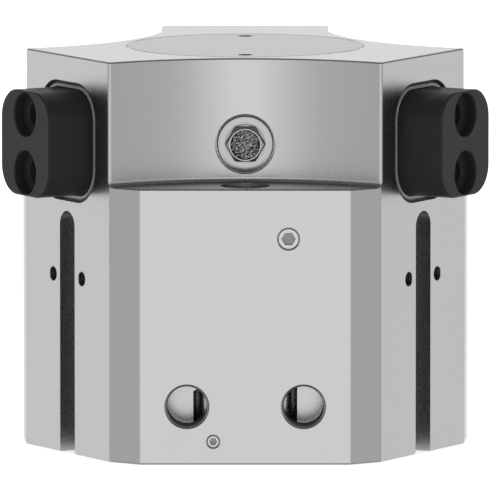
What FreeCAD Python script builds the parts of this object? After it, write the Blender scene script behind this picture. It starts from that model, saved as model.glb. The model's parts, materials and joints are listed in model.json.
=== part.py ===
"""Sealed three-jaw parallel gripper with a pneumatic piston and a wedge-hook drive.

Millimetres, +Z up. The origin is on the gripper's axis, in the plane of the mounting face.
Everything about a jaw is drawn for a jaw that points along +X and is then turned to its own direction.
The gripper is drawn open: the piston is at the top of its stroke and the jaws are fully out.
"""

import FreeCAD, Part
import math
import os

# Driving dimensions: block
HEIGHT = 82.7
JAW_FACE_R = 42.5            # axis to each of the three jaw faces
JAW_FACE_HALF = 17.7
LOBE_HALF = 17.65            # half width of a jaw face above the ledge
PORT_FACE_R = 40.9           # axis to each of the three flats between them
PORT_FACE_HALF = 21.7
LEDGE_Z = 57.0               # the scallops cut the block from here to the top
SCALLOP_WALL_R = 27.1        # axis to the middle of a scallop
SCALLOP_FOOT_RADIUS = 1.0
LOBE_EDGE_RADIUS = 0.6
BLOCK_EDGE_RADIUS = 0.4
EDGE_BREAK = 0.3

# Driving dimensions: jaws and drive
JAW_ANGLES = {"left": 210.0, "right": 330.0, "rear": 90.0}
PORT_ANGLES = (270.0, 30.0, 150.0)
JAW_STROKE = 6.0
PISTON_STROKE = 10.0
SLOPE = JAW_STROKE / PISTON_STROKE
JAW_WIDTH = 20.2
JAW_HEIGHT = 21.8
JAW_CORNER = 6.0
JAW_Z = 64.9
JAW_TIP_R = 52.5
JAW_GUIDE_GAP = 0.15
JAW_HOLE_PITCH = 12.0
SLIDE_GAP = 0.15             # each face of the hook in its jaw

# Jaw windows, with their seal and wiper
WINDOW_WIDTH = 23.8
WINDOW_HEIGHT = 24.9
WINDOW_CORNER = 7.7
WINDOW_FLOOR_R = 37.9
SEAL_FRONT_R = 40.0
WIPER_BAND_R = 41.2
WIPER_LIP_R = 42.15
WIPER_LIP_WIDTH = 0.75
WIPER_GAP = 0.2

# Bores on the axis
DRIVE_CHAMBER_R = 20.6
DRIVE_FLOOR_Z = 52.0
COVER_R = 24.6
COVER_THICKNESS = 4.0
COVER_GROOVE = (79.6, 80.9)       # lower and upper edge
COVER_SEAL_SECTION = 0.6
CYLINDER_R = 24.0
CYLINDER_TOP_Z = 48.9
CAP_R = 27.6
CAP_THICKNESS = 3.4
CAP_GROOVE_R = (24.4, 25.8)       # inner and outer wall
CAP_SEAL_SECTION = 0.55
CAP_BOSS_R = 17.0
CAP_BOSS_TOP_Z = 10.6
FIT_GAP = 0.1
SHAFT_GAP = 0.05
BUSH_R = 9.5
BUSH_FOOT_Z = 46.0
ROD_SEAL_R = 11.0
ROD_SEAL_SEAT = (41.5, 45.0)      # lower and upper end

# Holes in the outside of the block
SCREW_CIRCLE_R = 34.0
SCREW_HOLE_R = 3.3
SCREW_HEAD_R = 5.1
SCREW_HEAD_Z = 50.5
DOWEL_HOLE_R = 2.5
DOWEL_DEPTH = 8.0
SENSOR_SLOT_WIDTH = 6.2
SENSOR_SLOT_DEPTH = 7.0
SENSOR_SLOT_TOP = 50.4
CLAMP_HOLE_OFFSET = 6.0
CLAMP_HOLE_Z = 36.8
CLAMP_HOLE_R = 1.45
CLAMP_HOLE_DEPTH = 6.5
CLAMP_HOLE_MOUTH = 0.1
PORT_X = 12.0
PORT_Z = 12.0
PORT_R = 4.45
PORT_DEPTH = 10.2
PORT_MOUTH = 0.2
CHANNEL_X = 8.4
CHANNEL_Y = PORT_DEPTH - PORT_FACE_R - 0.3
CHANNEL_R = 2.35
CHANNEL_TOPS = {"left": 14.0, "right": 48.9}
CHANNEL_PLUG_LENGTH = 2.4
UPPER_DUCT = (8.9, 46.7, 2.1)     # x, z and radius
LOWER_DUCT = (-6.6, 4.75, 1.2)
DUCT_MOUTH = 0.3
DUCT_SOCKET_DEPTH = 0.9
SPANNER_HOLE_R = 1.5
SPANNER_HOLE_Y = 20.0

# Vent plug in the front scallop: a round flange with a hexagon standing out of it
VENT_Z = 64.9
VENT_SEAT_R = 6.25
VENT_SEAT_Y = -SCALLOP_WALL_R + 3.5
VENT_HEAD_R = 5.85
VENT_CREST_R = 4.74
VENT_CREST_Y = -27.0
VENT_CREST_HALF = 0.86
VENT_CREST_DROP = 0.07
VENT_THREAD_R = 4.6
VENT_HEXAGON_FLATS = 6.75
VENT_HEXAGON_Y = -29.1
VENT_HEXAGON_BEVEL = 0.6
VENT_FLARE = 0.42
VENT_FILTER_R = 3.05
VENT_FILTER_DEPTH = 1.2
VENT_PASSAGE_R = 2.2

# Drive
PISTON_TOP_Z = 47.8
PISTON_HEIGHT = 26.0
PISTON_BODY_R = 23.7
ROD_R = 7.5
BOSS_R = 13.0
BOSS_FOOT_Z = 40.0
WEDGE_FOOT_Z = 62.2
WEDGE_TOP_Z = 78.4
WEDGE_FOOT_R = 16.8          # axis to a wedge face at the wedge's foot
NECK_HALF = 3.0
NECK_DEPTH = 2.2
HOOK_HALF = 6.0
HOOK_DEPTH = 2.8
# Each ring's groove in the piston: floor radius, lower edge and upper edge
PISTON_GROOVES = {
    "piston_seal_lower": (20.2, 23.4, 26.4),
    "piston_magnet": (19.5, 28.6, 33.6),
    "piston_guide_ring": (22.4, 35.6, 39.6),
    "piston_seal_upper": (20.2, 42.4, 45.4),
}
# How far each ring reaches from the axis; the seals and the guide ring run on the cylinder wall
PISTON_RING_R = {
    "piston_seal_lower": CYLINDER_R - SHAFT_GAP,
    "piston_magnet": PISTON_BODY_R - 0.2,
    "piston_guide_ring": CYLINDER_R - SHAFT_GAP,
    "piston_seal_upper": CYLINDER_R - SHAFT_GAP,
}

AXIS = FreeCAD.Vector(0, 0, 1)
CENTRE = FreeCAD.Vector(0, 0, 0)


def vec(x, y, z):
    return FreeCAD.Vector(x, y, z)


def turned(shape, angle):
    """A copy of a shape turned about the gripper's axis."""
    copy = shape.copy()
    copy.rotate(CENTRE, AXIS, angle)
    return copy


def cylinder(radius, low, high, x=0.0, y=0.0):
    return Part.makeCylinder(radius, high - low, vec(x, y, low), AXIS)


def ring(inner, outer, low, high):
    return cylinder(outer, low, high).cut(cylinder(inner, low - 1, high + 1))


def bevelled_disc(radius, low, high, bevel, at_top=True):
    """A disc with a bevel round the edge of its upper or lower face."""
    if at_top:
        cone = Part.makeCone(radius, radius - bevel, bevel, vec(0, 0, high - bevel), AXIS)
        return cylinder(radius, low, high - bevel).fuse(cone).removeSplitter()
    cone = Part.makeCone(radius - bevel, radius, bevel, vec(0, 0, low), AXIS)
    return cylinder(radius, low + bevel, high).fuse(cone).removeSplitter()


def o_ring(radius, section, z):
    return Part.makeTorus(radius, section, vec(0, 0, z), AXIS)


def front_hole(radius, x, z, start, end):
    """A cylinder along +Y from start to end."""
    return Part.makeCylinder(radius, end - start, vec(x, start, z), vec(0, 1, 0))


def front_countersink(radius, mouth, x, z):
    """A cone that breaks the edge of a front hole, mouth wide and deep at the front face."""
    start = vec(x, -PORT_FACE_R - mouth, z)
    return Part.makeCone(radius + 2 * mouth, radius, 2 * mouth, start, vec(0, 1, 0))


def polygon_prism(points, direction):
    """A prism from a closed outline of points."""
    return Part.Face(Part.makePolygon(points + points[:1])).extrude(direction)


def rounded_outline(width, height, corner, x):
    """A rounded rectangle square to the X axis, on the jaws' centre line."""
    side = width / 2 - corner
    rise = height / 2 - corner
    corners = ((side, rise, 0), (-side, rise, 90), (-side, -rise, 180), (side, -rise, 270))
    edges = []
    ends = []
    for y, z, first in corners:
        points = []
        for degrees in (first, first + 45, first + 90):
            turn = math.radians(degrees)
            points.append(vec(x, y + corner * math.cos(turn), JAW_Z + z + corner * math.sin(turn)))
        ends.append((points[0], points[2]))
        edges.append(Part.Arc(*points).toShape())
    outline = []
    for index, arc in enumerate(edges):
        outline.append(arc)
        outline.append(Part.makeLine(ends[index][1], ends[(index + 1) % 4][0]))
    return Part.Wire(outline)


def rounded_bar(width, height, corner, near, far):
    """A bar along X with a rounded rectangular section."""
    return Part.Face(rounded_outline(width, height, corner, near)).extrude(vec(far - near, 0, 0))


def jaw_section_bar(gap, near, far):
    """A bar with the jaw's section, larger by a gap all round."""
    return rounded_bar(JAW_WIDTH + 2 * gap, JAW_HEIGHT + 2 * gap, JAW_CORNER + gap, near, far)


def hexagon_prism(flats, x, y, z, depth):
    """A hexagonal prism along +Y with two of its sides level."""
    radius = flats / math.sqrt(3)
    points = []
    for step in range(6):
        turn = math.radians(60 * step)
        points.append(vec(x + radius * math.cos(turn), y, z + radius * math.sin(turn)))
    return polygon_prism(points, vec(0, depth, 0))


def solids_only(shape):
    """The one solid in a boolean's result, or the result itself if it holds several."""
    clean = shape.removeSplitter()
    return clean.Solids[0] if len(clean.Solids) == 1 else clean


# Wedge geometry shared by the wedge core and the jaws

def wedge_face_r(z):
    """Distance from the axis to a wedge face at height z, gripper open."""
    return WEDGE_FOOT_R - SLOPE * (z - WEDGE_FOOT_Z)


def oblique_bar(inner, outer, half, low, high):
    """A bar along a wedge face; inner and outer are measured outwards from that face."""
    base = wedge_face_r(low)
    corners = ((inner, -half), (outer, -half), (outer, half), (inner, half))
    points = [vec(base + x, y, low) for x, y in corners]
    rise = high - low
    return polygon_prism(points, vec(-SLOPE * rise, 0, rise))


# Housing

def polar(radius, side, angle):
    """The point at a distance along a direction and a distance to its left."""
    turn = math.radians(angle)
    return vec(radius * math.cos(turn) - side * math.sin(turn),
               radius * math.sin(turn) + side * math.cos(turn), 0)


def block_outline():
    """Corners of the block below the ledge: jaw face, flat, jaw face and so on."""
    points = []
    for jaw in sorted(JAW_ANGLES.values()):
        points.extend(polar(JAW_FACE_R, side, jaw) for side in (-JAW_FACE_HALF, JAW_FACE_HALF))
        points.extend(polar(PORT_FACE_R, side, jaw + 60) for side in (-PORT_FACE_HALF, PORT_FACE_HALF))
    return points


def lobe_outline():
    """Outline above the ledge: jaw faces joined by the scallops' arcs."""
    edges = []
    for jaw in sorted(JAW_ANGLES.values()):
        start = polar(JAW_FACE_R, -LOBE_HALF, jaw)
        end = polar(JAW_FACE_R, LOBE_HALF, jaw)
        following = polar(JAW_FACE_R, -LOBE_HALF, jaw + 120)
        edges.append(Part.makeLine(start, end))
        edges.append(Part.Arc(end, polar(SCALLOP_WALL_R, 0, jaw + 60), following).toShape())
    return Part.Wire(edges)


def round_vertical_edges(shape, radius):
    edges = [edge for edge in shape.Edges if edge.BoundBox.ZLength > 1]
    return shape.makeFillet(radius, edges)


def middle_radius(edge):
    """Distance from the axis to the middle of an edge."""
    point = edge.valueAt((edge.FirstParameter + edge.LastParameter) / 2)
    return math.hypot(point.x, point.y)


def scallop_cutter():
    """A cylinder that cuts the scallop on the +X side, with a rounded foot."""
    corner = polar(JAW_FACE_R, LOBE_HALF, -60)
    rise = corner.x - SCALLOP_WALL_R
    radius = (corner.y ** 2 + rise ** 2) / (2 * rise)
    cutter = cylinder(radius, LEDGE_Z, HEIGHT, x=SCALLOP_WALL_R + radius)
    foot = [edge for edge in cutter.Edges if abs(edge.BoundBox.ZMax - LEDGE_Z) < 0.01]
    return cutter.makeFillet(SCALLOP_FOOT_RADIUS, foot)


def make_block():
    """The solid block: full outline up to the ledge, lobes above, edges rounded and broken."""
    foot_top = LEDGE_Z + SCALLOP_FOOT_RADIUS
    lower = polygon_prism(block_outline(), vec(0, 0, foot_top))
    lower = round_vertical_edges(lower, BLOCK_EDGE_RADIUS)
    for angle in PORT_ANGLES:
        lower = lower.cut(turned(scallop_cutter(), angle))
    upper = Part.Face(lobe_outline()).extrude(vec(0, 0, HEIGHT - foot_top))
    upper = round_vertical_edges(upper, LOBE_EDGE_RADIUS)
    upper.translate(vec(0, 0, foot_top))
    block = lower.fuse(upper).removeSplitter()
    rims = []
    for face in block.Faces:
        box = face.BoundBox
        if box.ZLength > 0.01:
            continue
        if box.ZMin < 0.01 or box.ZMin > HEIGHT - 0.01:
            rims.extend(face.Edges)
        elif abs(box.ZMin - LEDGE_Z) < 0.01:
            rims.extend(edge for edge in face.Edges if middle_radius(edge) > SCREW_CIRCLE_R)
    return block.makeChamfer(EDGE_BREAK, rims)


def jaw_window_cutter():
    """Guide bore, stepped window and hook keyway of the jaw along +X."""
    guide = jaw_section_bar(JAW_GUIDE_GAP, 12.0, WINDOW_FLOOR_R + 1)
    window = rounded_bar(WINDOW_WIDTH, WINDOW_HEIGHT, WINDOW_CORNER, WINDOW_FLOOR_R, JAW_FACE_R + 1)
    keyway_r = WEDGE_FOOT_R + NECK_DEPTH + HOOK_DEPTH + 0.4
    keyway = Part.makeBox(keyway_r, 2 * HOOK_HALF + 0.8, HEIGHT - COVER_THICKNESS - DRIVE_FLOOR_Z,
                          vec(0, -HOOK_HALF - 0.4, DRIVE_FLOOR_Z))
    return guide.fuse(window).fuse(keyway)


def sensor_slot_cutter():
    """Sensor slot, round at its upper end, and the two clamp holes beside it."""
    half = SENSOR_SLOT_WIDTH / 2
    near = JAW_FACE_R - SENSOR_SLOT_DEPTH
    length = SENSOR_SLOT_DEPTH + 1
    slot = Part.makeBox(length, SENSOR_SLOT_WIDTH, SENSOR_SLOT_TOP - half + 1, vec(near, -half, -1))
    end = Part.makeCylinder(half, length, vec(near, 0, SENSOR_SLOT_TOP - half), vec(1, 0, 0))
    cutter = slot.fuse(end)
    mouth = CLAMP_HOLE_MOUTH
    for side in (-CLAMP_HOLE_OFFSET, CLAMP_HOLE_OFFSET):
        floor = vec(JAW_FACE_R - CLAMP_HOLE_DEPTH, side, CLAMP_HOLE_Z)
        bore = Part.makeCylinder(CLAMP_HOLE_R, CLAMP_HOLE_DEPTH + 1, floor, vec(1, 0, 0))
        rim = Part.makeCone(CLAMP_HOLE_R, CLAMP_HOLE_R + 2 * mouth, 2 * mouth,
                            vec(JAW_FACE_R - mouth, side, CLAMP_HOLE_Z), vec(1, 0, 0))
        cutter = cutter.fuse(bore).fuse(rim)
    return cutter


def screw_hole_cutter():
    """Through hole for a mounting screw, with its head recess in the ledge."""
    hole = cylinder(SCREW_HOLE_R, -1, SCREW_HEAD_Z + 1, x=SCREW_CIRCLE_R)
    return hole.fuse(cylinder(SCREW_HEAD_R, SCREW_HEAD_Z, LEDGE_Z + 2, x=SCREW_CIRCLE_R))


def air_cutter():
    """Supply ports, the channels drilled up behind them and the cross ducts into the cylinder."""
    face = -PORT_FACE_R
    floor = face + PORT_DEPTH
    tools = []
    for side, duct, top in ((1, UPPER_DUCT, "right"), (-1, LOWER_DUCT, "left")):
        tools.append(front_hole(PORT_R, side * PORT_X, PORT_Z, face - 1, floor))
        tools.append(front_countersink(PORT_R, PORT_MOUTH, side * PORT_X, PORT_Z))
        tools.append(cylinder(CHANNEL_R, -1, CHANNEL_TOPS[top], x=side * CHANNEL_X, y=CHANNEL_Y))
        point = vec(side * CHANNEL_X, CHANNEL_Y, CHANNEL_TOPS[top])
        tools.append(Part.makeCone(CHANNEL_R, 0, CHANNEL_R * 0.6, point, AXIS))
        wall = -math.sqrt(CYLINDER_R ** 2 - duct[0] ** 2)
        tools.append(front_hole(duct[2], duct[0], duct[1], face - 1, wall + 1))
        tools.append(front_countersink(duct[2], DUCT_MOUTH, duct[0], duct[1]))
    return tools[0].multiFuse(tools[1:])


def axis_bores():
    """Cover seat, drive chamber, rod bore, cylinder and base cap recess."""
    seat_z = HEIGHT - COVER_THICKNESS
    tools = [
        cylinder(COVER_R + FIT_GAP, seat_z, HEIGHT + 1),
        Part.makeCone(COVER_R + FIT_GAP, COVER_R + FIT_GAP + 1.2, 1.2, vec(0, 0, HEIGHT - 0.2), AXIS),
        cylinder(DRIVE_CHAMBER_R, DRIVE_FLOOR_Z, seat_z + 1),
        cylinder(ROD_R + 0.4, BOSS_FOOT_Z - 1, DRIVE_FLOOR_Z + 1),
        cylinder(BUSH_R, BUSH_FOOT_Z, DRIVE_FLOOR_Z + 1),
        cylinder(ROD_SEAL_R, *ROD_SEAL_SEAT),
        ring(BOSS_R, CYLINDER_R, BOSS_FOOT_Z, CYLINDER_TOP_Z),
        cylinder(CYLINDER_R, CAP_THICKNESS - 1, BOSS_FOOT_Z),
        cylinder(CAP_R + FIT_GAP, -1, CAP_THICKNESS),
    ]
    return tools[0].multiFuse(tools[1:])


def vent_seat_cutter():
    """Stepped seat of the vent plug, through the front scallop into the drive chamber."""
    seat = front_hole(VENT_SEAT_R, 0, VENT_Z, VENT_SEAT_Y - 8, VENT_SEAT_Y)
    return seat.fuse(front_hole(VENT_THREAD_R, 0, VENT_Z, VENT_SEAT_Y - 1, 1 - DRIVE_CHAMBER_R))


def make_housing():
    tools = [axis_bores(), air_cutter(), vent_seat_cutter()]
    for angle in JAW_ANGLES.values():
        tools.append(turned(jaw_window_cutter(), angle))
        tools.append(turned(sensor_slot_cutter(), angle))
    for angle in PORT_ANGLES:
        tools.append(turned(screw_hole_cutter(), angle))
    for side in (-SCREW_CIRCLE_R, SCREW_CIRCLE_R):
        tools.append(cylinder(DOWEL_HOLE_R, -1, DOWEL_DEPTH, x=side))
    return solids_only(make_block().cut(tools))


# Covers and fixed inner pieces

def spanner_holes(low, high):
    return cylinder(SPANNER_HOLE_R, low, high, y=-SPANNER_HOLE_Y).fuse(
        cylinder(SPANNER_HOLE_R, low, high, y=SPANNER_HOLE_Y))


def make_top_cover():
    disc = bevelled_disc(COVER_R, HEIGHT - COVER_THICKNESS, HEIGHT, 0.2)
    groove = ring(COVER_R - 2 * COVER_SEAL_SECTION, COVER_R + 1, *COVER_GROOVE)
    return solids_only(disc.cut([groove, spanner_holes(HEIGHT - 2.5, HEIGHT + 1)]))


def make_base_cap():
    flange = bevelled_disc(CAP_R, 0, CAP_THICKNESS, EDGE_BREAK, at_top=False)
    boss = bevelled_disc(CAP_BOSS_R, CAP_THICKNESS - 1, CAP_BOSS_TOP_Z, 0.5)
    groove = ring(*CAP_GROOVE_R, CAP_THICKNESS - 2 * CAP_SEAL_SECTION, CAP_THICKNESS + 1)
    return solids_only(flange.fuse(boss).cut([groove, spanner_holes(-1, 2.2)]))


def make_rod_seal():
    """Lip seal round the rod: flat below, with a V groove in its upper face."""
    low, seat_top = ROD_SEAL_SEAT
    high = seat_top - 0.1
    groove_depth = 1.4
    groove_half = 0.6
    body = ring(ROD_R + SHAFT_GAP, ROD_SEAL_R, low, high)
    middle = (ROD_R + ROD_SEAL_R) / 2
    start = vec(0, 0, high - groove_depth)
    outer = Part.makeCone(middle, middle + groove_half, groove_depth, start, AXIS)
    inner = Part.makeCone(middle, middle - groove_half, groove_depth, start, AXIS)
    return solids_only(body.cut(outer.cut(inner)))


def make_jaw_seal():
    """Soft seal ring at the bottom of a jaw window."""
    outer = rounded_bar(WINDOW_WIDTH, WINDOW_HEIGHT, WINDOW_CORNER, WINDOW_FLOOR_R, SEAL_FRONT_R)
    return solids_only(outer.cut(jaw_section_bar(WIPER_GAP, WINDOW_FLOOR_R - 1, SEAL_FRONT_R + 1)))


def make_jaw_wiper():
    """Wiper in front of the seal: a recessed band, and a narrow lip that stands up round the jaw."""
    band = rounded_bar(WINDOW_WIDTH, WINDOW_HEIGHT, WINDOW_CORNER, SEAL_FRONT_R, WIPER_BAND_R)
    foot_grow = WIPER_GAP + WIPER_LIP_WIDTH
    crest_grow = foot_grow - 0.15
    foot = rounded_outline(JAW_WIDTH + 2 * foot_grow, JAW_HEIGHT + 2 * foot_grow,
                           JAW_CORNER + foot_grow, WIPER_BAND_R - 0.3)
    crest = rounded_outline(JAW_WIDTH + 2 * crest_grow, JAW_HEIGHT + 2 * crest_grow,
                            JAW_CORNER + crest_grow, WIPER_LIP_R)
    lip = Part.makeLoft([foot, crest], True, True)
    opening = jaw_section_bar(WIPER_GAP, SEAL_FRONT_R - 1, JAW_FACE_R + 1)
    return solids_only(band.fuse(lip).cut(opening))


def vent_flange():
    """Flange of the vent plug: a low round crest between the rim and the hexagon's root."""
    low_y = VENT_CREST_Y + VENT_CREST_DROP
    inner = vec(VENT_CREST_R - VENT_CREST_HALF, low_y, 0)
    crest = vec(VENT_CREST_R, VENT_CREST_Y, 0)
    shoulder = vec(VENT_CREST_R + VENT_CREST_HALF, low_y, 0)
    rim = vec(VENT_HEAD_R, low_y + VENT_HEAD_R - shoulder.x, 0)
    middle = vec(0, low_y, 0)
    foot = vec(0, VENT_SEAT_Y, 0)
    low_rim = vec(VENT_HEAD_R, VENT_SEAT_Y, 0)
    profile = [Part.Arc(inner, crest, shoulder).toShape()]
    corners = (shoulder, rim, low_rim, foot, middle, inner)
    for start, end in zip(corners, corners[1:]):
        profile.append(Part.makeLine(start, end))
    flange = Part.Face(Part.Wire(profile)).revolve(CENTRE, vec(0, 1, 0), 360)
    flange.translate(vec(0, 0, VENT_Z))
    return flange


def hexagon_wire(flats, y):
    """A hexagon square to the Y axis, on the vent plug's centre line."""
    radius = flats / math.sqrt(3)
    turns = [math.radians(60 * step) for step in range(7)]
    return Part.makePolygon([vec(radius * math.cos(turn), y, VENT_Z + radius * math.sin(turn))
                             for turn in turns])


def vent_hexagon():
    """Hexagon of the vent plug: its front corners turned off, its root flared."""
    corner = VENT_HEXAGON_FLATS / math.sqrt(3)
    length = VENT_SEAT_Y - VENT_HEXAGON_Y
    prism = hexagon_prism(VENT_HEXAGON_FLATS, 0, VENT_HEXAGON_Y, VENT_Z, length)
    start = vec(0, VENT_HEXAGON_Y, VENT_Z)
    bevel_depth = VENT_HEXAGON_BEVEL * 0.6
    nose = Part.makeCone(corner - VENT_HEXAGON_BEVEL, corner, bevel_depth, start, vec(0, 1, 0))
    bar = front_hole(corner, 0, VENT_Z, VENT_HEXAGON_Y + bevel_depth, VENT_SEAT_Y)
    flare_flats = VENT_HEXAGON_FLATS + 2 * VENT_FLARE
    flare_foot_y = VENT_CREST_Y + VENT_CREST_DROP + 0.1
    sections = [
        hexagon_wire(VENT_HEXAGON_FLATS, flare_foot_y - VENT_FLARE),
        hexagon_wire(flare_flats, flare_foot_y),
        hexagon_wire(flare_flats, VENT_SEAT_Y),
    ]
    flare = Part.makeLoft(sections, True, True)
    return prism.common(nose.fuse(bar).removeSplitter()).fuse(flare)


def make_vent_plug():
    """Hollow plug: flange, standing hexagon, threaded shank and filter seat."""
    shank_r = VENT_THREAD_R - 0.05
    inner_y = 0.4 - DRIVE_CHAMBER_R
    shank = front_hole(shank_r, 0, VENT_Z, VENT_SEAT_Y - 0.5, inner_y - 1)
    groove = front_hole(VENT_HEAD_R + 1, 0, VENT_Z, VENT_SEAT_Y - 0.8, VENT_SEAT_Y + 1)
    groove = groove.cut(front_hole(shank_r, 0, VENT_Z, VENT_SEAT_Y - 2, VENT_SEAT_Y + 2))
    seat_end = VENT_HEXAGON_Y + 0.2 + VENT_FILTER_DEPTH
    seat = front_hole(VENT_FILTER_R + SHAFT_GAP, 0, VENT_Z, VENT_HEXAGON_Y - 1, seat_end)
    passage = front_hole(VENT_PASSAGE_R, 0, VENT_Z, VENT_HEXAGON_Y, inner_y)
    head = vent_flange().fuse(vent_hexagon())
    return solids_only(head.fuse(shank).cut([groove, seat, passage]))


def make_vent_seal():
    return Part.makeTorus(5.1, 0.4, vec(0, VENT_SEAT_Y - 0.4, VENT_Z), vec(0, 1, 0))


def make_vent_filter():
    """Sintered disc just inside the front of the vent plug's hexagon."""
    front = VENT_HEXAGON_Y + 0.2
    return front_hole(VENT_FILTER_R, 0, VENT_Z, front, front + VENT_FILTER_DEPTH)


def make_duct_plug(duct, length, flats):
    """Threaded plug that closes a cross duct, with a hexagon socket in its face."""
    x, z, radius = duct
    face = -PORT_FACE_R + DUCT_MOUTH
    body = front_hole(radius, x, z, face, face + length)
    rim = [edge for edge in body.Edges if abs(edge.BoundBox.YMax - face) < 0.01]
    body = body.makeChamfer(0.1, rim)
    socket = hexagon_prism(flats, x, face - 1, z, DUCT_SOCKET_DEPTH + 1)
    return solids_only(body.cut(socket))


def make_channel_plug(side):
    """Plug that closes a vertical air channel just inside the mounting face."""
    return cylinder(CHANNEL_R, 0.3, 0.3 + CHANNEL_PLUG_LENGTH, x=side * CHANNEL_X, y=CHANNEL_Y)


# Moving pieces

def make_jaw():
    """Jaw along +X: guide bar, slanted T-slot for the wedge hook, two tapped holes in its end."""
    heel_r = wedge_face_r(JAW_Z - JAW_HEIGHT / 2) + 1
    blunt_r = 12.2
    bar = jaw_section_bar(0, blunt_r, JAW_TIP_R)
    tip = [edge for edge in bar.Edges if edge.BoundBox.XMin > JAW_TIP_R - 0.01]
    bar = bar.makeChamfer(EDGE_BREAK, tip)
    low = JAW_Z - JAW_HEIGHT / 2 - 1
    high = JAW_Z + JAW_HEIGHT / 2 + 1
    toe = oblique_bar(-heel_r, SLIDE_GAP, JAW_WIDTH, low, high)
    neck = oblique_bar(-2, NECK_DEPTH, NECK_HALF + SLIDE_GAP, low, high)
    hook = oblique_bar(NECK_DEPTH - SLIDE_GAP, NECK_DEPTH + HOOK_DEPTH + SLIDE_GAP,
                       HOOK_HALF + SLIDE_GAP, low, high)
    tools = [toe, neck, hook]
    for side in (-JAW_HOLE_PITCH / 2, JAW_HOLE_PITCH / 2):
        z = JAW_Z + side
        tools.append(Part.makeCylinder(4.5, 3.2, vec(JAW_TIP_R - 2.2, 0, z), vec(1, 0, 0)))
        tools.append(Part.makeCylinder(2.5, 15.0, vec(JAW_TIP_R - 14.2, 0, z), vec(1, 0, 0)))
        tools.append(Part.makeCone(4.5, 4.8, 0.3, vec(JAW_TIP_R - 0.2, 0, z), vec(1, 0, 0)))
        tools.append(Part.makeCone(2.5, 3.2, 0.7, vec(JAW_TIP_R - 2.7, 0, z), vec(1, 0, 0)))
    for side in (-1, 1):
        nose = vec(blunt_r - 0.1, side * (JAW_WIDTH / 2 + 0.1), low)
        bevel = 3.2
        corner = [nose, nose + vec(bevel, 0, 0), nose - vec(0, side * bevel, 0)]
        tools.append(polygon_prism(corner, vec(0, 0, high - low)))
    return solids_only(bar.cut(tools))


def make_wedge_core():
    """Three-sided wedge with a hook along each face, on the rod that carries it."""
    body = None
    for angle in JAW_ANGLES.values():
        slab = oblique_bar(-60, 0, 60, WEDGE_FOOT_Z, WEDGE_TOP_Z)
        slab = turned(slab, angle)
        body = slab if body is None else body.common(slab)
    body = body.common(cylinder(DRIVE_CHAMBER_R - 0.4, WEDGE_FOOT_Z, WEDGE_TOP_Z))
    hooks = []
    for angle in JAW_ANGLES.values():
        neck = oblique_bar(-2, NECK_DEPTH + 0.5, NECK_HALF, WEDGE_FOOT_Z, WEDGE_TOP_Z)
        hook = oblique_bar(NECK_DEPTH, NECK_DEPTH + HOOK_DEPTH, HOOK_HALF, WEDGE_FOOT_Z, WEDGE_TOP_Z)
        hooks.append(turned(neck.fuse(hook), angle))
    rod_foot = PISTON_TOP_Z - 9.0
    rod = cylinder(ROD_R, rod_foot, WEDGE_FOOT_Z + 1)
    spigot = cylinder(5.5, rod_foot - 3, rod_foot + 1)
    core = body.multiFuse(hooks + [rod, spigot])
    return solids_only(core.cut(cylinder(4.0, rod_foot - 4, rod_foot + 14)))


def make_piston():
    """Piston with a recess for the rod boss above and for the screw head below."""
    low = PISTON_TOP_Z - PISTON_HEIGHT
    recess_z = PISTON_TOP_Z - 9.0
    body = cylinder(PISTON_BODY_R, low, PISTON_TOP_Z)
    body = body.makeChamfer(0.6, [edge for edge in body.Edges if edge.BoundBox.ZLength < 0.01])
    tools = [
        cylinder(BOSS_R + 0.6, recess_z, PISTON_TOP_Z + 1),
        cylinder(5.6, recess_z - 3, recess_z + 1),
        cylinder(4.2, low, recess_z),
        cylinder(7.0, low - 1, low + 9.2),
    ]
    for inner, bottom, top in PISTON_GROOVES.values():
        tools.append(ring(inner, PISTON_BODY_R + 1, bottom, top))
    tools.append(ring(5.5, 6.9, recess_z - 1.0, recess_z + 0.5))
    return solids_only(body.cut(tools))


def make_piston_ring(name):
    inner, bottom, top = PISTON_GROOVES[name]
    return ring(inner, PISTON_RING_R[name], bottom, top)


def make_drive_screw():
    """Socket head screw that clamps the piston to the wedge core's rod."""
    low = PISTON_TOP_Z - PISTON_HEIGHT
    head_z = low + 9.2
    head = cylinder(6.5, head_z - 8.0, head_z)
    shank = cylinder(3.95, head_z - 1, head_z + 20.5)
    socket = []
    for step in range(6):
        turn = math.radians(60 * step)
        socket.append(vec(3.46 * math.cos(turn), 3.46 * math.sin(turn), head_z - 9))
    return solids_only(head.fuse(shank).cut(polygon_prism(socket, vec(0, 0, 5))))


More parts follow.
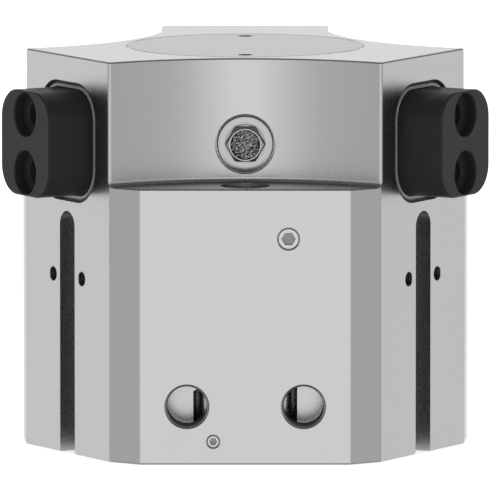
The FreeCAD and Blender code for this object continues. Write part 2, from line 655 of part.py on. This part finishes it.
def build():
    parts = {
        "housing": make_housing(),
        "top_cover": make_top_cover(),
        "top_cover_seal": o_ring(COVER_R - COVER_SEAL_SECTION, COVER_SEAL_SECTION, sum(COVER_GROOVE) / 2),
        "base_cap": make_base_cap(),
        "base_cap_seal": o_ring(sum(CAP_GROOVE_R) / 2, CAP_SEAL_SECTION, CAP_THICKNESS - CAP_SEAL_SECTION),
        "rod_bush": ring(ROD_R + SHAFT_GAP, BUSH_R, BUSH_FOOT_Z, DRIVE_FLOOR_Z),
        "rod_seal": make_rod_seal(),
        "upper_stop_ring": ring(15.0, 19.0, CYLINDER_TOP_Z - 1.0, CYLINDER_TOP_Z),
        "lower_stop_ring": ring(12.0, 16.0, CAP_BOSS_TOP_Z, CAP_BOSS_TOP_Z + 1.1),
        "vent_plug": make_vent_plug(),
        "vent_seal": make_vent_seal(),
        "vent_filter": make_vent_filter(),
        "duct_plug_upper": make_duct_plug(UPPER_DUCT, 5.0, 2.55),
        "duct_plug_lower": make_duct_plug(LOWER_DUCT, 4.0, 1.45),
        "channel_plug_left": make_channel_plug(-1),
        "channel_plug_right": make_channel_plug(1),
        "piston": make_piston(),
        "wedge_core": make_wedge_core(),
        "rod_joint_seal": o_ring(6.2, 0.5, PISTON_TOP_Z - 9.5),
        "drive_screw": make_drive_screw(),
    }
    for name in PISTON_GROOVES:
        parts[name] = make_piston_ring(name)
    for side, angle in JAW_ANGLES.items():
        parts["jaw_" + side] = turned(make_jaw(), angle)
        parts["jaw_seal_" + side] = turned(make_jaw_seal(), angle)
        parts["jaw_wiper_" + side] = turned(make_jaw_wiper(), angle)
    return parts


def main():
    os.makedirs("parts", exist_ok=True)
    for name, shape in build().items():
        solids = len(shape.Solids)
        if not shape.isValid() or solids != 1:
            raise ValueError("%s is not one valid solid (%d)" % (name, solids))
        shape.exportStep("parts/%s.step" % name)
        print("%-18s %8.2f cm3" % (name, shape.Volume / 1000))


main()
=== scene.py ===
"""Looks for a sealed three-jaw pneumatic gripper: materials, fine pieces, stage, light and camera.

Metres, +Z up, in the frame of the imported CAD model. Threads are drawn along +X and are then turned to the
direction of their hole.
"""
import json
import math
import random

import bmesh
import bpy
from mathutils import Matrix, Vector


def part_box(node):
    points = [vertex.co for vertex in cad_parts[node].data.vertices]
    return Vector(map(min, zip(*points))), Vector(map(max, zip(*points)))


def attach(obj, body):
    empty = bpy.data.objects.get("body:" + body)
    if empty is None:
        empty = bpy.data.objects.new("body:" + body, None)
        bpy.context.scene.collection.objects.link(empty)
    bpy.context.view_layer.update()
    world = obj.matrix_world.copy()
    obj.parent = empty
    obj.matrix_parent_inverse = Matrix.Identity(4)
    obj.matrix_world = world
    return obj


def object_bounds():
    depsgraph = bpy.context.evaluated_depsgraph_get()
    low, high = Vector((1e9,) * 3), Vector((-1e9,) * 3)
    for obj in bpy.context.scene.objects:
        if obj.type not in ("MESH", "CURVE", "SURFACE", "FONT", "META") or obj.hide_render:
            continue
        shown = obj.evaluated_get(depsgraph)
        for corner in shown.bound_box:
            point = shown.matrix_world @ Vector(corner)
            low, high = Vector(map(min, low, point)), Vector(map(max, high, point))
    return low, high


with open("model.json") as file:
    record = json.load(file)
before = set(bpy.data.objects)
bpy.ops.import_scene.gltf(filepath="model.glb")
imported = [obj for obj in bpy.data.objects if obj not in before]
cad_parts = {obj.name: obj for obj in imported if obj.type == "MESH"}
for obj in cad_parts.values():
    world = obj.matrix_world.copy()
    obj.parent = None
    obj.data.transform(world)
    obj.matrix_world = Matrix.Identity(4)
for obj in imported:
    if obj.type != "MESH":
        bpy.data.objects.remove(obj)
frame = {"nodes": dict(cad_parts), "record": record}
CAD_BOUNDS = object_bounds()

MM = 0.001
JAW_ANGLES = {"left": 210.0, "right": 330.0, "rear": 90.0}
PORT_ANGLE = 270.0
PLUG_FACE_Y = -40.6 * MM

# Wiper: its band is flat up to the first distance from the axis, its lip begins at the second; its colour
# has painted shade in the band and a painted highlight on the lip
WIPER_BAND_END = 41.22 * MM
WIPER_LIP_START = 41.4 * MM

# Threads: pitch, length and height of the ridge
FINGER_THREAD = (1.0 * MM, 11.0 * MM, 0.3 * MM)
PORT_THREAD = (0.907 * MM, 7.0 * MM, 0.36 * MM)
CLAMP_THREAD = (0.5 * MM, 5.5 * MM, 0.18 * MM)
CLAMP_HOLE_R = 1.45 * MM
CLAMP_HOLE_OFFSETS = (-6.0 * MM, 6.0 * MM)
CLAMP_THREAD_INSET = 0.15 * MM
THREAD_STEPS = 28            # steps in one turn

# Sintered grains on the vent filter
GRAIN_R = 0.17 * MM
GRAIN_PITCH = 2.1 * GRAIN_R
GRAIN_SCATTER = 0.45         # of a grain's radius
GRAIN_MISSING = 0.05         # share of places left empty

# Light tent, as the strength seen in a mirror
BASE_LIGHT = 0.745
FRONT_LIGHT = 0.655
FRONT_SPREAD = 10.0
BACK_LIGHT = (0.378, 0.292)  # at the left and the right
SIDE_DIP = -0.385
OVERHEAD_SHARE = (0.2, 0.85)  # at the front and sides, and behind
FLOOR_SHARE = 0.5

# Camera
CAMERA_DISTANCE = 2.978
CAMERA_RISE = math.radians(6.425)
CAMERA_LENS = 1050.3
CAMERA_SENSOR = 36.0
AIM_X = -0.05 * MM
AIM_DROP = 0.45 * MM         # below the middle of the gripper's height


# Node helpers

class Tree:
    """A short way to write a node tree."""

    def __init__(self, tree):
        self.tree = tree
        tree.nodes.clear()

    def node(self, kind, inputs=None, **settings):
        made = self.tree.nodes.new(kind)
        for name, value in settings.items():
            setattr(made, name, value)
        for name, value in (inputs or {}).items():
            self.plug(made.inputs[name], value)
        return made

    def plug(self, socket, value):
        if isinstance(value, bpy.types.NodeSocket):
            self.tree.links.new(value, socket)
        elif isinstance(value, tuple) and len(value) == 3 and socket.type == "RGBA":
            socket.default_value = (*value, 1.0)
        else:
            socket.default_value = value

    def math(self, operation, first, second=0.0, clamp=False):
        made = self.node("ShaderNodeMath", {0: first, 1: second}, operation=operation, use_clamp=clamp)
        return made.outputs[0]

    def ramp(self, value, low, high, to_low=0.0, to_high=1.0, smooth=False):
        kind = "SMOOTHSTEP" if smooth else "LINEAR"
        made = self.node("ShaderNodeMapRange", interpolation_type=kind)
        for name, item in zip(("Value", "From Min", "From Max", "To Min", "To Max"),
                              (value, low, high, to_low, to_high)):
            self.plug(made.inputs[name], item)
        return made.outputs[0]

    def noise(self, place, scale, detail=2.0, roughness=0.5):
        inputs = {"Vector": place, "Scale": scale, "Detail": detail, "Roughness": roughness}
        return self.node("ShaderNodeTexNoise", inputs).outputs["Fac"]

    def stretched(self, place, factors):
        return self.node("ShaderNodeMapping", {"Vector": place, "Scale": factors}).outputs[0]

    def mix(self, factor, first, second):
        made = self.node("ShaderNodeMix", data_type="RGBA")
        for index, item in ((0, factor), (6, first), (7, second)):
            self.plug(made.inputs[index], item)
        return made.outputs[2]

    def bump(self, height, depth, normal=None):
        inputs = {"Height": height, "Strength": 1.0, "Distance": depth}
        if normal is not None:
            inputs["Normal"] = normal
        return self.node("ShaderNodeBump", inputs).outputs[0]


def material(name, build, **surface):
    """A material with one Principled shader; build adds the varying colour, roughness and bump."""
    made = bpy.data.materials.new(name)
    made.use_nodes = True
    tree = Tree(made.node_tree)
    shader = tree.node("ShaderNodeBsdfPrincipled")
    for key, value in surface.items():
        tree.plug(shader.inputs[key.replace("_", " ").title().replace("Ior", "IOR")], value)
    output = tree.node("ShaderNodeOutputMaterial")
    tree.tree.links.new(shader.outputs[0], output.inputs[0])
    place = tree.node("ShaderNodeTexCoord").outputs["Object"]
    colour, rough, normal = build(tree, place)
    tree.plug(shader.inputs["Base Color"], colour)
    tree.plug(shader.inputs["Roughness"], rough)
    if normal is not None:
        tree.plug(shader.inputs["Normal"], normal)
    return made


# Materials

def satin_metal(tone, rough, warmth=0.0):
    """Fine satin metal: faint cloudy tone, a grain too fine to see at arm's length."""
    def build(tree, place):
        cloud = tree.noise(place, 45.0, 3.0)
        grit = tree.noise(place, 5200.0, 2.0)
        light = (tone * 1.01 * (1 + warmth), tone * 1.01, tone * 1.01 * (1 - warmth))
        dark = (tone * 0.99 * (1 + warmth), tone * 0.99, tone * 0.99 * (1 - warmth))
        colour = tree.mix(cloud, dark, light)
        roughness = tree.ramp(grit, 0.3, 0.7, rough - 0.012, rough + 0.012)
        return colour, roughness, tree.bump(grit, 5e-8)
    return build


def socket_metal_painted_shade(tone, rough):
    """Bright metal on a duct plug's front face; in the hexagon socket sunk into it, painted shade darkens
    the colour with depth and the metal is rougher.
    """
    def build(tree, place):
        colour, roughness, normal = satin_metal(tone, rough)(tree, place)
        y = tree.node("ShaderNodeSeparateXYZ", {0: place}).outputs[1]
        # painted shade: the colour falls to half its tone with depth into the socket
        depth = tree.ramp(y, PLUG_FACE_Y + 0.1 * MM, PLUG_FACE_Y + 0.8 * MM, smooth=True)
        painted_shade_colour = tree.mix(depth, colour, (tone * 0.5,) * 3)
        return painted_shade_colour, tree.math("ADD", roughness, tree.math("MULTIPLY", depth, 0.15)), normal
    return build


def turned_metal(tone, rough):
    """Metal turned on a lathe: fine rings round the gripper's axis."""
    pitch = 0.35 * MM

    def build(tree, place):
        parts = tree.node("ShaderNodeSeparateXYZ", {0: place}).outputs
        square = tree.math("ADD", tree.math("MULTIPLY", parts[0], parts[0]),
                           tree.math("MULTIPLY", parts[1], parts[1]))
        radius = tree.math("SQRT", square)
        rings = tree.math("SINE", tree.math("MULTIPLY", radius, 2 * math.pi / pitch))
        grit = tree.noise(place, 6000.0, 2.0)
        height = tree.math("ADD", rings, grit)
        cloud = tree.noise(place, 60.0, 2.0)
        colour = tree.mix(cloud, (tone * 0.98,) * 3, (tone * 1.02,) * 3)
        roughness = tree.ramp(grit, 0.3, 0.7, rough - 0.03, rough + 0.03)
        return colour, roughness, tree.bump(height, 1.2e-7)
    return build


def hard_coat(dark, light, rough):
    """Black hard coating: a soft mottle and a very fine grain."""
    def build(tree, place):
        mottle = tree.noise(place, 320.0, 4.0, 0.6)
        grit = tree.noise(place, 7000.0, 2.0)
        colour = tree.mix(mottle, dark, light)
        roughness = tree.ramp(mottle, 0.3, 0.7, rough - 0.04, rough + 0.05)
        return colour, roughness, tree.bump(grit, 5e-7)
    return build


def elastomer(dark, light, rough):
    """Rubber or polyurethane with a soft mottle."""
    def build(tree, place):
        mottle = tree.noise(place, 900.0, 3.0)
        grit = tree.noise(place, 9000.0, 2.0)
        colour = tree.mix(mottle, dark, light)
        roughness = tree.ramp(grit, 0.3, 0.7, rough - 0.05, rough + 0.05)
        return colour, roughness, tree.bump(grit, 2e-6)
    return build


def wiper_rubber_painted_light(band, lip):
    """Rubber with painted light, measured along each jaw's direction: painted shade darkens the recessed
    band and a painted highlight lightens the lip.
    """
    def build(tree, place):
        reach = None
        for angle in JAW_ANGLES.values():
            turn = math.radians(angle)
            dot = tree.node("ShaderNodeVectorMath", {0: place, 1: (math.cos(turn), math.sin(turn), 0.0)},
                            operation="DOT_PRODUCT").outputs["Value"]
            reach = dot if reach is None else tree.math("MAXIMUM", reach, dot)
        grit = tree.noise(place, 3000.0, 3.0)
        # painted shade in the band, painted highlight on the lip, split by the distance along the jaw
        height = tree.ramp(reach, WIPER_BAND_END, WIPER_LIP_START, smooth=True)
        colour = tree.mix(height, band, lip)
        roughness = tree.ramp(grit, 0.3, 0.7, 0.3, 0.4)
        return colour, roughness, tree.bump(grit, 1e-6)
    return build


def sintered(dark, light):
    """Coarse, strongly mottled surface of sintered metal."""
    def build(tree, place):
        grain = tree.noise(place, 2600.0, 4.0, 0.7)
        return tree.mix(tree.ramp(grain, 0.35, 0.65), dark, light), 0.45, tree.bump(grain, 2e-5)
    return build


VENT_METAL = material("vent_stainless", satin_metal(0.43, 0.26), metallic=1.0)
# duct plug metal with painted shade deep in its hexagon socket
SOCKET_METAL = material("socket_stainless_painted_shade", socket_metal_painted_shade(0.50, 0.22), metallic=1.0)
GRAIN_METAL = material("filter_grains", sintered((0.13, 0.13, 0.128), (0.64, 0.63, 0.62)), metallic=0.25)
TAPPED_METAL = material("tapped_hole", satin_metal(0.30, 0.38), metallic=1.0)
SMALL_TAPPED_METAL = material("small_tapped_hole", satin_metal(0.08, 0.45), metallic=1.0)
MATERIALS = {
    "housing": material("anodised_block", satin_metal(0.50, 0.27), metallic=1.0),
    "cover": material("anodised_cover", turned_metal(0.30, 0.26), metallic=1.0),
    "jaw": material("black_hard_coat", hard_coat((0.0165, 0.0150, 0.0138), (0.0215, 0.0198, 0.0185), 0.34),
                    metallic=0.0, ior=1.17),
    # wiper rubber with painted shade in its band and a painted highlight on its lip
    "wiper": material("wiper_elastomer_painted_light", wiper_rubber_painted_light((0.010, 0.010, 0.010), (0.20, 0.20, 0.20)),
                      metallic=0.0, ior=1.40),
    "seal": material("seal_elastomer", elastomer((0.010, 0.010, 0.010), (0.016, 0.016, 0.016), 0.5),
                     metallic=0.0, ior=1.4),
    "buffer": material("buffer_polyurethane", elastomer((0.22, 0.10, 0.03), (0.27, 0.13, 0.05), 0.45),
                       metallic=0.0),
    "bush": material("sintered_bronze", satin_metal(0.42, 0.35, warmth=0.35), metallic=1.0),
    "plug": material("turned_stainless", satin_metal(0.53, 0.22), metallic=1.0),
    "filter": material("sintered_stainless", sintered((0.004, 0.004, 0.004), (0.02, 0.02, 0.02)),
                       metallic=0.0, ior=1.2),
    "piston": material("hard_anodised", satin_metal(0.38, 0.4), metallic=1.0),
    "magnet": material("bonded_ferrite", hard_coat((0.03, 0.03, 0.03), (0.05, 0.05, 0.05), 0.6),
                       metallic=0.0),
    "guide": material("filled_ptfe", elastomer((0.03, 0.03, 0.03), (0.05, 0.05, 0.05), 0.6), metallic=0.0),
    "wedge": material("ground_steel", satin_metal(0.45, 0.22), metallic=1.0),
    "screw": material("black_oxide", hard_coat((0.02, 0.02, 0.022), (0.035, 0.035, 0.038), 0.35),
                      metallic=0.9),
}

for entry in frame["record"]["subparts"]:
    mesh = frame["nodes"][entry["node"]].data
    for index in range(len(mesh.materials)):
        mesh.materials[index] = MATERIALS[entry["material_slot"]]
frame["nodes"]["vent_plug"].data.materials[0] = VENT_METAL
for node in ("duct_plug_upper", "duct_plug_lower"):
    frame["nodes"][node].data.materials[0] = SOCKET_METAL


# Fine pieces

def mesh_object(name, build, surface, body):
    """A new piece from a function that fills a bmesh."""
    shape = bmesh.new()
    build(shape)
    mesh = bpy.data.meshes.new(name)
    shape.to_mesh(mesh)
    shape.free()
    for polygon in mesh.polygons:
        polygon.use_smooth = True
    made = bpy.data.objects.new(name, mesh)
    bpy.context.scene.collection.objects.link(made)
    mesh.materials.append(surface)
    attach(made, body)
    return made


def thread_ridge(shape, place, wall_r, thread):
    """A helical ridge on the wall of a tapped hole; place turns +X into the hole's outward direction."""
    pitch, length, height = thread
    total = int(length / pitch * THREAD_STEPS)
    # Each corner of the ridge's section: outwards in ridge heights, and along the hole in pitches
    section = ((0.02, -0.44), (-1.0, -0.08), (-1.0, 0.08), (0.02, 0.44))
    rows = []
    for step in range(total + 1):
        turn = 2 * math.pi * step / THREAD_STEPS
        along = -length * step / total
        fade = min(1.0, step / THREAD_STEPS, (total - step) / THREAD_STEPS)
        row = []
        for outwards, offset in section:
            radius = wall_r + outwards * height * fade
            point = Vector((along + offset * pitch * max(fade, 0.1),
                            radius * math.cos(turn), radius * math.sin(turn)))
            row.append(shape.verts.new(place @ point))
        rows.append(row)
    for first, second in zip(rows, rows[1:]):
        for index in range(len(section)):
            after = (index + 1) % len(section)
            shape.faces.new((first[index], first[after], second[after], second[index]))
    shape.faces.new(reversed(rows[0]))
    shape.faces.new(rows[-1])
    bmesh.ops.recalc_face_normals(shape, faces=shape.faces)


def outward(place, angle):
    """Turns +X into a horizontal direction, with its origin at a place on the gripper."""
    return Matrix.Translation(place) @ Matrix.Rotation(math.radians(angle), 4, "Z")


def mounts_named(start):
    """Mounts in the record whose names begin with a word."""
    return [mount for mount in frame["record"]["mounts"] if mount["name"].startswith(start)]


def finger_threads(side, angle):
    def build(shape):
        for mount in mounts_named("finger_hole_" + side):
            place = outward(Vector(mount["pos_m"]), angle)
            thread_ridge(shape, place, mount["dims"]["r_mm"] * MM, FINGER_THREAD)
    mesh_object("finger_threads_" + side, build, MATERIALS["jaw"], "jaw_" + side)


def port_threads():
    def build(shape):
        for mount in mounts_named("air_port"):
            place = outward(Vector(mount["pos_m"]), PORT_ANGLE)
            thread_ridge(shape, place, mount["dims"]["r_mm"] * MM, PORT_THREAD)
    mesh_object("air_port_threads", build, TAPPED_METAL, "body")


def clamp_threads():
    """Threads of the small tapped holes beside each sensor slot."""
    def build(shape):
        for side, angle in JAW_ANGLES.items():
            centre = Vector(mounts_named("sensor_clamp_holes_" + side)[0]["pos_m"])
            for offset in CLAMP_HOLE_OFFSETS:
                place = outward(centre, angle) @ Matrix.Translation((-CLAMP_THREAD_INSET, offset, 0.0))
                thread_ridge(shape, place, CLAMP_HOLE_R, CLAMP_THREAD)
    mesh_object("clamp_hole_threads", build, SMALL_TAPPED_METAL, "body")


for side, angle in JAW_ANGLES.items():
    finger_threads(side, angle)
port_threads()
clamp_threads()


def filter_grains():
    """Sintered grains packed loosely on the face of the vent filter."""
    low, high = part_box("vent_filter")
    centre = (low + high) / 2
    radius = (high.x - low.x) / 2
    draw = random.Random(7)

    def build(shape):
        rows = int(radius / GRAIN_R) + 1
        for row in range(-rows, rows + 1):
            for column in range(-rows, rows + 1):
                x = (column + 0.5 * (row % 2)) * GRAIN_PITCH
                x += draw.uniform(-GRAIN_SCATTER, GRAIN_SCATTER) * GRAIN_R
                z = row * GRAIN_PITCH * 0.87
                z += draw.uniform(-GRAIN_SCATTER, GRAIN_SCATTER) * GRAIN_R
                size = GRAIN_R * draw.uniform(0.75, 1.25)
                depth = draw.uniform(-0.2, 0.9) * GRAIN_R
                if draw.random() < GRAIN_MISSING or math.hypot(x, z) > radius - size * 1.1:
                    continue
                spot = Vector((centre.x + x, low.y + depth, centre.z + z))
                stretch = Matrix.Diagonal((draw.uniform(0.8, 1.3), 1.0, draw.uniform(0.8, 1.2), 1.0))
                turn = Matrix.Rotation(draw.uniform(0, math.pi), 4, "Y")
                bmesh.ops.create_icosphere(shape, subdivisions=2, radius=size,
                                           matrix=Matrix.Translation(spot) @ turn @ stretch)
    mesh_object("vent_filter_grains", build, GRAIN_METAL, "body")


filter_grains()


# Stage, light and camera

def make_floor():
    """A white floor a hair below the gripper, left out of reflections."""
    bpy.ops.mesh.primitive_plane_add(size=12.0, location=(0, 0, -0.1 * MM))
    floor = bpy.context.object
    floor.name = "floor"
    paint = bpy.data.materials.new("floor_paper")
    paint.use_nodes = True
    tree = Tree(paint.node_tree)
    shader = tree.node("ShaderNodeBsdfPrincipled", {"Base Color": (0.90, 0.90, 0.90), "Roughness": 0.9})
    tree.plug(shader.inputs["Emission Color"], (1.0, 1.0, 1.0))
    tree.plug(shader.inputs["Emission Strength"], 0.55)
    output = tree.node("ShaderNodeOutputMaterial")
    tree.tree.links.new(shader.outputs[0], output.inputs[0])
    floor.data.materials.append(paint)
    floor.visible_glossy = False


def make_world():
    """A light tent, seen only in reflections: bright in front, fairly bright behind, quiet at the sides.

    It is dark overhead, except high behind, so that broken top edges read as dark lines, and it is dimmer
    towards the floor.
    """
    world = bpy.data.worlds.new("studio")
    bpy.context.scene.world = world
    world.use_nodes = True
    tree = Tree(world.node_tree)
    way = tree.node("ShaderNodeTexCoord").outputs["Generated"]
    x, y, z = tree.node("ShaderNodeSeparateXYZ", {0: way}).outputs
    front = tree.math("POWER", tree.math("MULTIPLY", y, -1.0, clamp=True), FRONT_SPREAD)
    front = tree.math("MULTIPLY", front, FRONT_LIGHT)
    back = tree.ramp(y, 0.05, 0.45, smooth=True)
    back = tree.math("MULTIPLY", back, tree.ramp(x, -1.0, 1.0, *BACK_LIGHT))
    near_side = tree.ramp(y, -0.25, -0.03, smooth=True)
    far_side = tree.ramp(y, 0.05, 0.38, 1.0, 0.0, smooth=True)
    eye_level = tree.ramp(tree.math("ABSOLUTE", z), 0.26, 0.42, 1.0, 0.0, smooth=True)
    side = tree.math("MULTIPLY", tree.math("MULTIPLY", near_side, far_side), SIDE_DIP)
    side = tree.math("MULTIPLY", side, eye_level)
    level = tree.math("ADD", front, BASE_LIGHT)
    level = tree.math("ADD", tree.math("ADD", level, back), side)
    middle = tree.ramp(tree.math("ABSOLUTE", x), 0.3, 0.48, 1.0, 0.0, smooth=True)
    behind = tree.ramp(y, -0.1, 0.35, smooth=True)
    overhead = tree.ramp(tree.math("MULTIPLY", middle, behind), 0.0, 1.0, *OVERHEAD_SHARE)
    level = tree.math("MULTIPLY", level, tree.ramp(z, 0.2, 0.52, 1.0, overhead, smooth=True))
    level = tree.math("MULTIPLY", level, tree.ramp(z, -0.75, -0.32, FLOOR_SHARE, 1.0, smooth=True))
    ray = tree.node("ShaderNodeLightPath").outputs
    even = tree.math("MAXIMUM", ray["Is Camera Ray"], ray["Is Diffuse Ray"])
    mirrored = tree.math("MULTIPLY", level, tree.math("SUBTRACT", 1.0, even))
    strength = tree.math("ADD", mirrored, even)
    background = tree.node("ShaderNodeBackground", {"Color": (1.0, 1.0, 1.0), "Strength": strength})
    output = tree.node("ShaderNodeOutputWorld")
    tree.tree.links.new(background.outputs[0], output.inputs[0])


def make_camera():
    """A long lens in front of the gripper, a little above it."""
    aim = Vector((AIM_X, 0, CAD_BOUNDS[1][2] / 2 - AIM_DROP))
    camera = bpy.data.cameras.new("camera")
    camera.lens = CAMERA_LENS
    camera.sensor_width = CAMERA_SENSOR
    camera.clip_end = 30.0
    made = bpy.data.objects.new("camera", camera)
    bpy.context.scene.collection.objects.link(made)
    made.location = aim + CAMERA_DISTANCE * Vector((0, -math.cos(CAMERA_RISE), math.sin(CAMERA_RISE)))
    made.rotation_euler = (math.pi / 2 - CAMERA_RISE, 0, 0)
    bpy.context.scene.camera = made


make_floor()
make_world()
make_camera()
bpy.context.scene.view_settings.view_transform = "Standard"
